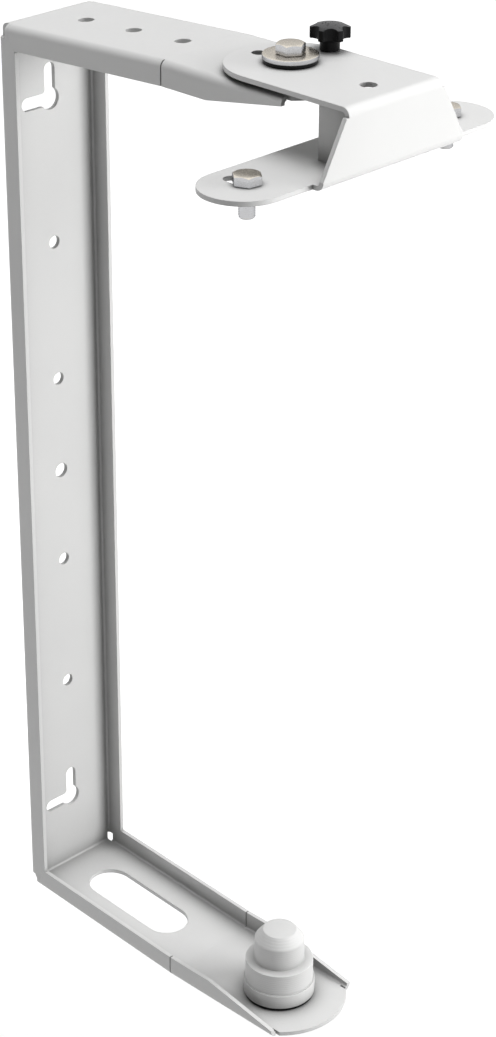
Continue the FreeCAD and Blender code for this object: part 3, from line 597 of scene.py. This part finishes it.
starKnob = {
    "place": (219, 34, 342.3), "lobes": 6, "turned": -45.0, "rim": 12.3, "rimLow": 7.4, "rimHigh": 14.0,
    "rimEdge": 0.55, "scallop": 5.2, "scallopReach": 14.2, "lobeEdge": 0.9, "dome": 2.3, "domeReach": 11.7,
    "domeRings": (1, 0.88, 0.85, 0.8, 0.72, 0.6, 0.4),  # each as a share of the one before
    "sharp": 45, "hub": 6.1, "hubEdge": 0.3, "hubSteps": 72, "bore": 3.0, "lap": 0.4,
    "flare": 1.2, "flareBulge": 0.35, "flareStart": 2.2, "flareMiddle": 1.0, "flareEnd": 0.1,
}


def starOutline(size):
    bm = bmesh.new()
    reach, scallop, rim, edge = (size[key] * mm for key in ("scallopReach", "scallop", "rim", "lobeEdge"))
    along = (reach ** 2 + (rim - edge) ** 2 - (scallop + edge) ** 2) / (2 * reach)
    across = math.sqrt((rim - edge) ** 2 - along ** 2)
    wall = math.pi - math.atan2(across, along - reach)
    lobe = math.atan2(across, along)
    start = bm.verts.new((reach - scallop, 0, 0))
    point = spinPoint(bm, start, (reach, 0, 0), -wall, steps=10)  # floor of the scallop
    point = spinPoint(bm, point, (along, across, 0), wall + lobe, steps=8)  # the lobe's rounded edge
    spinPoint(bm, point, (0, 0, 0), math.pi / size["lobes"] - lobe, steps=2)
    bmesh.ops.mirror(bm, geom=bm.verts[:] + bm.edges[:], axis="Y", matrix=Matrix.Identity(4),
                     merge_dist=1e-6)
    sector = bm.verts[:] + bm.edges[:]
    for number in range(1, size["lobes"]):
        copy = bmesh.ops.duplicate(bm, geom=sector)
        step = Matrix.Rotation(2 * math.pi * number / size["lobes"], 3, "Z")
        bmesh.ops.rotate(bm, verts=ofKind(copy["geom"], bmesh.types.BMVert), cent=(0, 0, 0), matrix=step)
    bmesh.ops.remove_doubles(bm, verts=bm.verts, dist=1e-6)
    bmesh.ops.contextual_create(bm, geom=bm.edges[:])
    return bm


def makeCap(size):
    cap = starOutline(size)
    moveAll(cap, (0, 0, size["rimLow"]))
    face = cap.faces[:]
    ball = (size["domeReach"] ** 2 + size["dome"] ** 2) / (2 * size["dome"])
    crown = size["rimHigh"] + size["dome"]
    for scale in size["domeRings"]:
        grown = bmesh.ops.extrude_face_region(cap, geom=face)
        face = ofKind(grown["geom"], bmesh.types.BMFace)
        verts = ofKind(grown["geom"], bmesh.types.BMVert)
        bmesh.ops.scale(cap, verts=verts, vec=(scale, scale, 1))
        for vert in verts:  # the top lies on a ball
            reach = math.hypot(vert.co.x, vert.co.y) / mm
            vert.co.z = (crown - ball + math.sqrt(ball ** 2 - reach ** 2)) * mm
    pole = bmesh.ops.poke(cap, faces=face)["verts"][0]
    pole.co.z = crown * mm
    bmesh.ops.recalc_face_normals(cap, faces=cap.faces)
    rims = [edge for edge in sharpEdges(cap, size["sharp"])
            if abs(edge.verts[0].co.z - edge.verts[1].co.z) < edge.calc_length() / 2]
    bevelEdges(cap, rims, size["rimEdge"] * mm)
    smoothShade(cap, size["sharp"])
    return cap


def makeHub(size):
    hub = bmesh.new()
    neck = size["hub"]
    edge = size["hubEdge"]
    low = size["rimLow"]
    flare = neck + size["flare"]
    spinSection(hub, [
        (size["bore"], 0), (neck - edge, 0), (neck, edge), (neck, low - size["flareStart"]),
        (neck + size["flareBulge"], low - size["flareMiddle"]), (flare, low - size["flareEnd"]),
        (flare, low + size["lap"]), (size["bore"], low + size["lap"]),
    ], size["hubSteps"])
    smoothShade(hub)
    return hub


knob = makeCap(starKnob)
joinInto(knob, makeHub(starKnob))
turnAll(knob, starKnob["turned"], "Z")
moveAll(knob, starKnob["place"])
addPiece("starKnob", knob, blackPlastic, "knob", "knob_grip")
print("knob made")


# studio

plainWhite = (1, 1, 1, 1)
photoView = {
    "place": (1.257197, -1.093575, 0.808472), "azimuth": 45.076, "elevation": 27.065, "clipEnd": 100,
    "focal": 2638.356, "centre": (220.604, 520.838), "frame": (496, 1037), "sensor": 36,
}


def addCamera(view):
    camera = bpy.data.objects.new("photoCamera", bpy.data.cameras.new("photoCamera"))
    bpy.context.scene.collection.objects.link(camera)
    wide, high = view["frame"]
    camera.data.sensor_width = view["sensor"]
    camera.data.lens = view["focal"] * view["sensor"] / high
    camera.data.shift_x = (wide / 2 - view["centre"][0]) / high
    camera.data.shift_y = (view["centre"][1] - high / 2) / high
    camera.data.clip_end = view["clipEnd"]
    azimuth = math.radians(view["azimuth"])
    elevation = math.radians(view["elevation"])
    level = math.cos(elevation)
    back = Vector((math.sin(azimuth) * level, -math.cos(azimuth) * level, math.sin(elevation)))
    camera.location = view["place"]
    camera.rotation_euler = (-back).to_track_quat("-Z", "Y").to_euler()
    bpy.context.scene.camera = camera


softboxes = {
    "frontBox": {"place": (1.3, 0.7, 0.35), "size": 0.9, "watts": 20.6, "tone": (1, 1, 0.995)},
    "topBox": {"place": (0.3, 0.3, 4.5), "size": 3.5, "watts": 151, "tone": (1, 1, 1)},
    "leftBox": {"place": (0.0, -1.0, 4.0), "size": 3.0, "watts": 21, "tone": (1, 1, 1)},
    "behindBox": {"place": (-1.0, -2.0, -0.5), "size": 1.2, "watts": 10.2, "tone": (1, 1, 1)},
}
lampAim = (0.12, 0, 0)


def addSoftbox(name, box):
    lamp = bpy.data.lights.new(name, "AREA")
    lamp.shape = "SQUARE"
    lamp.size = box["size"]
    lamp.energy = box["watts"]
    lamp.color = box["tone"]
    holder = bpy.data.objects.new(name, lamp)
    bpy.context.scene.collection.objects.link(holder)
    holder.visible_glossy = False  # the zinc shows the white surroundings, without glare
    holder.location = box["place"]
    holder.rotation_euler = (Vector(lampAim) - Vector(box["place"])).to_track_quat("-Z", "Y").to_euler()


studio = {
    "ambient": 0.02, "floorDrop": -1.05, "floorWidth": 60, "floorTone": (0.8, 0.8, 0.8),
    "nearReach": 1.25, "nearGlow": 0.4, "farReach": 1.7, "farGlow": 1.0,
}


def eitherRay(tree, *kinds):
    path = tree.nodes.new("ShaderNodeLightPath")
    total = path.outputs[kinds[0]]
    for kind in kinds[1:]:
        join = tree.nodes.new("ShaderNodeMath")
        join.operation = "MAXIMUM"
        tree.links.new(total, join.inputs[0])
        tree.links.new(path.outputs[kind], join.inputs[1])
        total = join.outputs["Value"]
    return total


def chooseShader(tree, factor, first, second, output):
    mix = tree.nodes.new("ShaderNodeMixShader")
    tree.links.new(factor, mix.inputs["Fac"])
    tree.links.new(first, mix.inputs[1])
    tree.links.new(second, mix.inputs[2])
    tree.links.new(mix.outputs["Shader"], tree.nodes[output].inputs["Surface"])


def addSurroundings(look):
    world = bpy.data.worlds.new("studio")
    bpy.context.scene.world = world
    world.use_nodes = True
    tree = world.node_tree
    dim = tree.nodes["Background"]
    dim.inputs["Color"].default_value = plainWhite
    dim.inputs["Strength"].default_value = look["ambient"]
    white = tree.nodes.new("ShaderNodeBackground")
    white.inputs["Color"].default_value = plainWhite
    white.inputs["Strength"].default_value = 1
    seen = eitherRay(tree, "Is Camera Ray", "Is Glossy Ray", "Is Transmission Ray")
    chooseShader(tree, seen, dim.outputs["Background"], white.outputs["Background"], "World Output")


def makePaper(look):
    paper, tree, shader = newFinish("paper")
    shader.inputs["Base Color"].default_value = (*look["floorTone"], 1)
    shader.inputs["Roughness"].default_value = 1
    shader.inputs["Specular IOR Level"].default_value = 0
    shader.inputs["Emission Color"].default_value = plainWhite
    away = tree.nodes.new("ShaderNodeVectorMath")
    away.operation = "LENGTH"
    tree.links.new(tree.nodes.new("ShaderNodeTexCoord").outputs["Object"], away.inputs[0])
    spread = addRange(tree, away.outputs["Value"], look["nearGlow"], look["farGlow"],
                      look["nearReach"], look["farReach"])  # plain white away from the object
    glow = tree.nodes.new("ShaderNodeMath")
    glow.operation = "MULTIPLY"
    tree.links.new(spread, glow.inputs[0])
    tree.links.new(eitherRay(tree, "Is Camera Ray"), glow.inputs[1])
    tree.links.new(glow.outputs["Value"], shader.inputs["Emission Strength"])
    plain = tree.nodes.new("ShaderNodeEmission")  # gloss shows the paper as the white that the camera sees
    plain.inputs["Color"].default_value = plainWhite
    plain.inputs["Strength"].default_value = 1
    mirrored = eitherRay(tree, "Is Glossy Ray", "Is Transmission Ray")
    chooseShader(tree, mirrored, shader.outputs["BSDF"], plain.outputs["Emission"], "Material Output")
    return paper


def addFloor(look):
    bm = bmesh.new()
    bmesh.ops.create_grid(bm, x_segments=1, y_segments=1, size=look["floorWidth"] / 2)
    bmesh.ops.translate(bm, verts=bm.verts, vec=(0, 0, look["floorDrop"]))
    floor = placeMesh("floor", bm, makePaper(look))


addCamera(photoView)
for name, box in softboxes.items():
    addSoftbox(name, box)
addSurroundings(studio)
addFloor(studio)
bpy.context.scene.view_settings.view_transform = "Standard"
print("studio ready")
